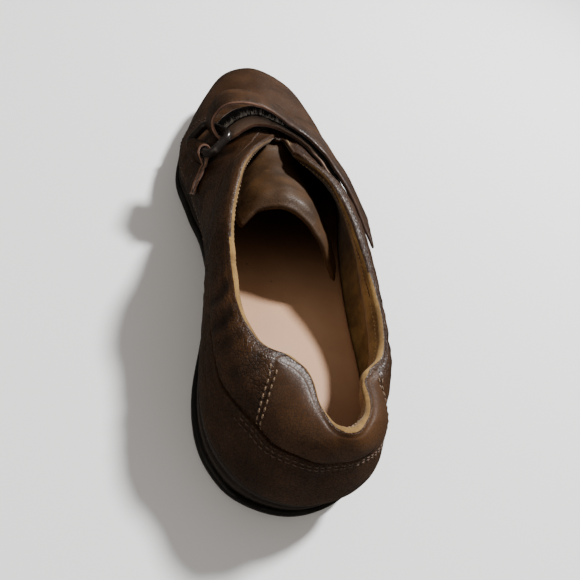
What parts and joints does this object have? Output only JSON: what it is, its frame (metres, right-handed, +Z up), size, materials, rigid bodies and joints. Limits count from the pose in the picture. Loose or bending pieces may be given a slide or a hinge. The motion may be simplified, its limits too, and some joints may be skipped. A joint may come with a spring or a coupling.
{
  "type": "strap walking shoe",
  "caption": "Low leather walking shoe for the right foot, with a padded collar, a wedge sole and a hook-and-loop strap that turns back through a ring.",
  "frame": {"origin": "on the ground, under the middle of the shoe's bounding box", "axes": "+X to the lateral side, +Y from heel to toe, +Z up"},
  "size_m": [0.1036, 0.284, 0.0754],
  "materials": {
    "black_rubber": "matte black rubber, lightly worn",
    "dark_brown_wedge": "dark brown foamed rubber, satin",
    "beige_insole": "pinkish beige lining leather, matte",
    "brown_leather": "dark brown grained leather with a soft shine",
    "smooth_brown_leather": "smooth brown leather with a soft shine",
    "black_loop_tape": "black loop tape, fuzzy",
    "black_hook_tape": "black hook tape",
    "dark_grey_ring": "dark grey lacquer, slightly shiny"
  },
  "bodies": {
    "root": {"outsole": "black_rubber", "wedge_midsole": "dark_brown_wedge", "insole": "beige_insole", "upper": "brown_leather", "tongue": "smooth_brown_leather", "strap": "brown_leather", "loop_tape": "black_loop_tape", "hook_tape": "black_hook_tape", "ring": "dark_grey_ring", "ring_tab": "brown_leather"}
  },
  "joints": []
}
